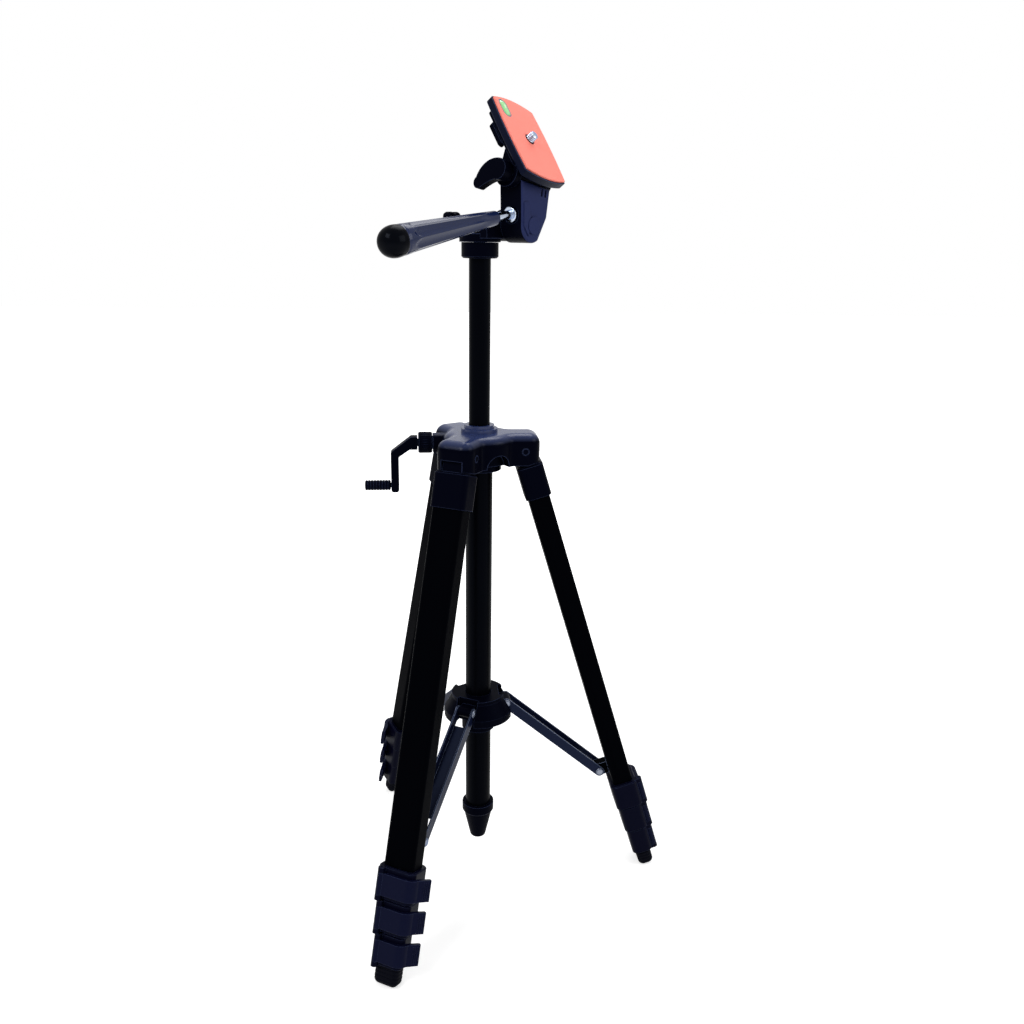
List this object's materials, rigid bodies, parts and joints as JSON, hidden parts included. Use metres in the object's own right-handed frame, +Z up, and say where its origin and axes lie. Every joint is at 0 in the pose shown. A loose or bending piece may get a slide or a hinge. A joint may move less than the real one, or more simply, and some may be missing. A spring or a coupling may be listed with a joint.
{
  "type": "compact four-section tripod with geared column and three-way head",
  "caption": "Lightweight tripod with telescoping flip-lock legs, brace hub, hand-cranked column and pan-tilt-flip head with a camera-thread plate.",
  "frame": {"origin": "middle of the footprint on the floor, under the middle of the whole tripod's box", "axes": "+Z up along the column; -Y towards the viewer's side of the set-up tripod"},
  "size_m": [0.2562, 0.2805, 0.6276],
  "materials": {
    "black_plastic": "satin",
    "gloss_plastic": "gloss",
    "slate_plastic": "satin",
    "black_anodised": "satin",
    "painted_strut": "satin",
    "black_rubber": "matte",
    "orange_rubber": "matte",
    "bright_chrome": "polished",
    "green_vial": "gloss"
  },
  "bodies": {
    "frame": {"crown": "black_plastic", "guide_tube": "black_anodised", "tube_end_cap": "black_plastic"},
    "hub": {"brace_hub": "black_plastic"},
    "column": {"column_tube": "black_anodised", "head_socket": "black_plastic"},
    "crank": {"crank": "black_plastic"},
    "crank_grip": {"crank_grip": "black_plastic"},
    "lock_ring": {"column_lock_ring": "black_plastic"},
    "pan_head": {"pan_body": "black_plastic"},
    "pan_knob": {"pan_lock_knob": "black_plastic"},
    "tilt_head": {"tilt_body": "slate_plastic"},
    "handle": {"handle_rod": "bright_chrome", "handle_grip": "gloss_plastic"},
    "platform": {"flip_platform": "black_plastic"},
    "wing_knob": {"flip_wing_knob": "black_plastic"},
    "release": {"release_lever": "black_plastic"},
    "plate": {"camera_plate": "black_plastic", "plate_pad": "orange_rubber", "bubble_level": "green_vial"},
    "screw": {"camera_screw": "bright_chrome"},
    "leg_1": {"leg_1_knuckle": "black_plastic", "leg_1_tube_1": "black_anodised", "leg_1_clamp_1": "black_plastic"},
    "leg_1_section_2": {"leg_1_tube_2": "black_anodised", "leg_1_clamp_2": "black_plastic"},
    "leg_1_section_3": {"leg_1_tube_3": "black_anodised", "leg_1_clamp_3": "black_plastic"},
    "leg_1_section_4": {"leg_1_tube_4": "black_anodised", "leg_1_foot": "black_rubber"},
    "leg_1_lever_1": {"leg_1_lever_1": "gloss_plastic"},
    "leg_1_lever_2": {"leg_1_lever_2": "gloss_plastic"},
    "leg_1_lever_3": {"leg_1_lever_3": "gloss_plastic"},
    "leg_1_strut": {"leg_1_strut": "painted_strut"},
    "leg_2": {"leg_2_knuckle": "black_plastic", "leg_2_tube_1": "black_anodised", "leg_2_clamp_1": "black_plastic"},
    "leg_2_section_2": {"leg_2_tube_2": "black_anodised", "leg_2_clamp_2": "black_plastic"},
    "leg_2_section_3": {"leg_2_tube_3": "black_anodised", "leg_2_clamp_3": "black_plastic"},
    "leg_2_section_4": {"leg_2_tube_4": "black_anodised", "leg_2_foot": "black_rubber"},
    "leg_2_lever_1": {"leg_2_lever_1": "gloss_plastic"},
    "leg_2_lever_2": {"leg_2_lever_2": "gloss_plastic"},
    "leg_2_lever_3": {"leg_2_lever_3": "gloss_plastic"},
    "leg_2_strut": {"leg_2_strut": "painted_strut"},
    "leg_3": {"leg_3_knuckle": "black_plastic", "leg_3_tube_1": "black_anodised", "leg_3_clamp_1": "black_plastic"},
    "leg_3_section_2": {"leg_3_tube_2": "black_anodised", "leg_3_clamp_2": "black_plastic"},
    "leg_3_section_3": {"leg_3_tube_3": "black_anodised", "leg_3_clamp_3": "black_plastic"},
    "leg_3_section_4": {"leg_3_tube_4": "black_anodised", "leg_3_foot": "black_rubber"},
    "leg_3_lever_1": {"leg_3_lever_1": "gloss_plastic"},
    "leg_3_lever_2": {"leg_3_lever_2": "gloss_plastic"},
    "leg_3_lever_3": {"leg_3_lever_3": "gloss_plastic"},
    "leg_3_strut": {"leg_3_strut": "painted_strut"}
  },
  "joints": [
    {"name": "leg_1_fold", "type": "hinge", "parent": "frame", "child": "leg_1", "pos_m": [-0.04599, -0.0271, 0.37796], "axis": [0.8957, -0.4446, 0], "range_deg": [0, 16.06]},
    {"name": "leg_1_extend_1", "type": "slide", "parent": "leg_1", "child": "leg_1_section_2", "axis": [-0.1304, -0.2628, -0.956], "range_m": [0, 0.235]},
    {"name": "leg_1_lever_1_open", "type": "hinge", "parent": "leg_1", "child": "leg_1_lever_1", "pos_m": [-0.10244, -0.11744, 0.07849], "axis": [-0.1304, -0.2628, -0.956], "range_deg": [0, 110]},
    {"name": "leg_1_extend_2", "type": "slide", "parent": "leg_1_section_2", "child": "leg_1_section_3", "axis": [-0.1304, -0.2628, -0.956], "range_m": [0, 0.235]},
    {"name": "leg_1_lever_2_open", "type": "hinge", "parent": "leg_1_section_2", "child": "leg_1_lever_2", "pos_m": [-0.10378, -0.12351, 0.0544], "axis": [-0.1304, -0.2628, -0.956], "range_deg": [0, 110]},
    {"name": "leg_1_extend_3", "type": "slide", "parent": "leg_1_section_3", "child": "leg_1_section_4", "axis": [-0.1304, -0.2628, -0.956], "range_m": [0, 0.235]},
    {"name": "leg_1_lever_3_open", "type": "hinge", "parent": "leg_1_section_3", "child": "leg_1_lever_3", "pos_m": [-0.10512, -0.12958, 0.03031], "axis": [-0.1304, -0.2628, -0.956], "range_deg": [0, 110]},
    {"name": "leg_1_strut_fold", "type": "hinge", "parent": "hub", "child": "leg_1_strut", "pos_m": [-0.04093, -0.0169, 0.163], "axis": [0.8957, -0.4446, 0], "range_deg": [0, 50.04]},
    {"name": "leg_2_fold", "type": "hinge", "parent": "frame", "child": "leg_2", "pos_m": [0.00362, 0.00586, 0.37796], "axis": [-0.0628, 0.998, 0], "range_deg": [0, 16.06]},
    {"name": "leg_2_extend_1", "type": "slide", "parent": "leg_2", "child": "leg_2_section_2", "axis": [0.2928, 0.0184, -0.956], "range_m": [0, 0.235]},
    {"name": "leg_2_lever_1_open", "type": "hinge", "parent": "leg_2", "child": "leg_2_lever_1", "pos_m": [0.11008, 0.00214, 0.07849], "axis": [0.2928, 0.0184, -0.956], "range_deg": [0, 110]},
    {"name": "leg_2_extend_2", "type": "slide", "parent": "leg_2_section_2", "child": "leg_2_section_3", "axis": [0.2928, 0.0184, -0.956], "range_m": [0, 0.235]},
    {"name": "leg_2_lever_2_open", "type": "hinge", "parent": "leg_2_section_2", "child": "leg_2_lever_2", "pos_m": [0.11601, 0.00401, 0.0544], "axis": [0.2928, 0.0184, -0.956], "range_deg": [0, 110]},
    {"name": "leg_2_extend_3", "type": "slide", "parent": "leg_2_section_3", "child": "leg_2_section_4", "axis": [0.2928, 0.0184, -0.956], "range_m": [0, 0.235]},
    {"name": "leg_2_lever_3_open", "type": "hinge", "parent": "leg_2_section_3", "child": "leg_2_lever_3", "pos_m": [0.12193, 0.00589, 0.03031], "axis": [0.2928, 0.0184, -0.956], "range_deg": [0, 110]},
    {"name": "leg_2_strut_fold", "type": "hinge", "parent": "hub", "child": "leg_2_strut", "pos_m": [-0.00775, 0.00514, 0.163], "axis": [-0.0628, 0.998, 0], "range_deg": [0, 50.04]},
    {"name": "leg_3_fold", "type": "hinge", "parent": "frame", "child": "leg_3", "pos_m": [-0.04973, 0.03234, 0.37796], "axis": [-0.8329, -0.5534, 0], "range_deg": [0, 16.06]},
    {"name": "leg_3_extend_1", "type": "slide", "parent": "leg_3", "child": "leg_3_section_2", "axis": [-0.1624, 0.2444, -0.956], "range_m": [0, 0.235]},
    {"name": "leg_3_lever_1_open", "type": "hinge", "parent": "leg_3", "child": "leg_3_lever_1", "pos_m": [-0.09974, 0.1264, 0.07849], "axis": [-0.1624, 0.2444, -0.956], "range_deg": [0, 110]},
    {"name": "leg_3_extend_2", "type": "slide", "parent": "leg_3_section_2", "child": "leg_3_section_3", "axis": [-0.1624, 0.2444, -0.956], "range_m": [0, 0.235]},
    {"name": "leg_3_lever_2_open", "type": "hinge", "parent": "leg_3_section_2", "child": "leg_3_lever_2", "pos_m": [-0.10432, 0.1306, 0.0544], "axis": [-0.1624, 0.2444, -0.956], "range_deg": [0, 110]},
    {"name": "leg_3_extend_3", "type": "slide", "parent": "leg_3_section_3", "child": "leg_3_section_4", "axis": [-0.1624, 0.2444, -0.956], "range_m": [0, 0.235]},
    {"name": "leg_3_lever_3_open", "type": "hinge", "parent": "leg_3_section_3", "child": "leg_3_lever_3", "pos_m": [-0.10891, 0.13479, 0.03031], "axis": [-0.1624, 0.2444, -0.956], "range_deg": [0, 110]},
    {"name": "leg_3_strut_fold", "type": "hinge", "parent": "hub", "child": "leg_3_strut", "pos_m": [-0.04343, 0.02286, 0.163], "axis": [-0.8329, -0.5534, 0], "range_deg": [0, 50.04]},
    {"name": "hub_slide", "type": "slide", "parent": "frame", "child": "hub", "axis": [0, 0, 1], "range_m": [0, 0.02974]},
    {"name": "column_lift", "type": "slide", "parent": "frame", "child": "column", "axis": [0, 0, 1], "range_m": [-0.122, 0.12]},
    {"name": "crank_turn", "type": "hinge", "parent": "frame", "child": "crank", "pos_m": [-0.03148, 0.01618, 0.38], "axis": [-0.998, -0.0628, 0], "range_deg": [-1748.52, 1719.87]},
    {"name": "crank_grip_spin", "type": "hinge", "parent": "crank", "child": "crank_grip", "pos_m": [-0.10933, 0.01128, 0.346], "axis": [-0.998, -0.0628, 0], "continuous": true},
    {"name": "lock_ring_turn", "type": "hinge", "parent": "frame", "child": "lock_ring", "pos_m": [-0.0719, 0.01363, 0.38], "axis": [-0.998, -0.0628, 0], "range_deg": [-30, 330]},
    {"name": "pan", "type": "hinge", "parent": "column", "child": "pan_head", "pos_m": [-0.0307, 0.0037, 0.536], "axis": [0, 0, 1], "continuous": true},
    {"name": "pan_knob_turn", "type": "hinge", "parent": "pan_head", "child": "pan_knob", "pos_m": [-0.04839, 0.01991, 0.543], "axis": [-0.7373, 0.6756, 0], "range_deg": [-30, 330]},
    {"name": "tilt", "type": "hinge", "parent": "pan_head", "child": "tilt_head", "pos_m": [-0.00066, -0.00348, 0.542], "axis": [0.7373, -0.6756, 0], "range_deg": [-80, 40]},
    {"name": "handle_twist", "type": "hinge", "parent": "tilt_head", "child": "handle", "pos_m": [-0.0085, -0.01203, 0.5495], "axis": [-0.6663, -0.7272, -0.165], "range_deg": [-30, 540]},
    {"name": "portrait_flip", "type": "hinge", "parent": "tilt_head", "child": "platform", "pos_m": [-0.00013, -0.00291, 0.57406], "axis": [0.6663, 0.7272, -0.165], "range_deg": [-52, 38]},
    {"name": "wing_knob_turn", "type": "hinge", "parent": "platform", "child": "wing_knob", "pos_m": [-0.01612, -0.02036, 0.57802], "axis": [-0.6663, -0.7272, 0.165], "range_deg": [-60, 120]},
    {"name": "release_squeeze", "type": "hinge", "parent": "platform", "child": "release", "pos_m": [-0.01498, -0.01022, 0.59761], "axis": [-0.6496, 0.4575, -0.6072], "range_deg": [0, 25], "stiffness_Nm_per_rad": 0.02},
    {"name": "plate_lift_off", "type": "slide", "parent": "platform", "child": "plate", "axis": [0.6496, -0.4575, 0.6072], "range_m": [0, 0.03]},
    {"name": "screw_spin", "type": "hinge", "parent": "plate", "child": "screw", "pos_m": [-0.00211, 0.00347, 0.59415], "axis": [0.6496, -0.4575, 0.6072], "continuous": true}
  ],
  "couplings": [
    {"joint": "leg_1_strut_fold", "follows": "leg_1_fold", "ratio": 3.115},
    {"joint": "leg_2_fold", "follows": "leg_1_fold", "ratio": 1},
    {"joint": "leg_2_strut_fold", "follows": "leg_1_fold", "ratio": 3.115},
    {"joint": "leg_3_fold", "follows": "leg_1_fold", "ratio": 1},
    {"joint": "leg_3_strut_fold", "follows": "leg_1_fold", "ratio": 3.115},
    {"joint": "hub_slide", "follows": "leg_1_fold", "m_per_rad": 0.10539},
    {"joint": "crank_turn", "follows": "column_lift", "rad_per_m": 250}
  ]
}
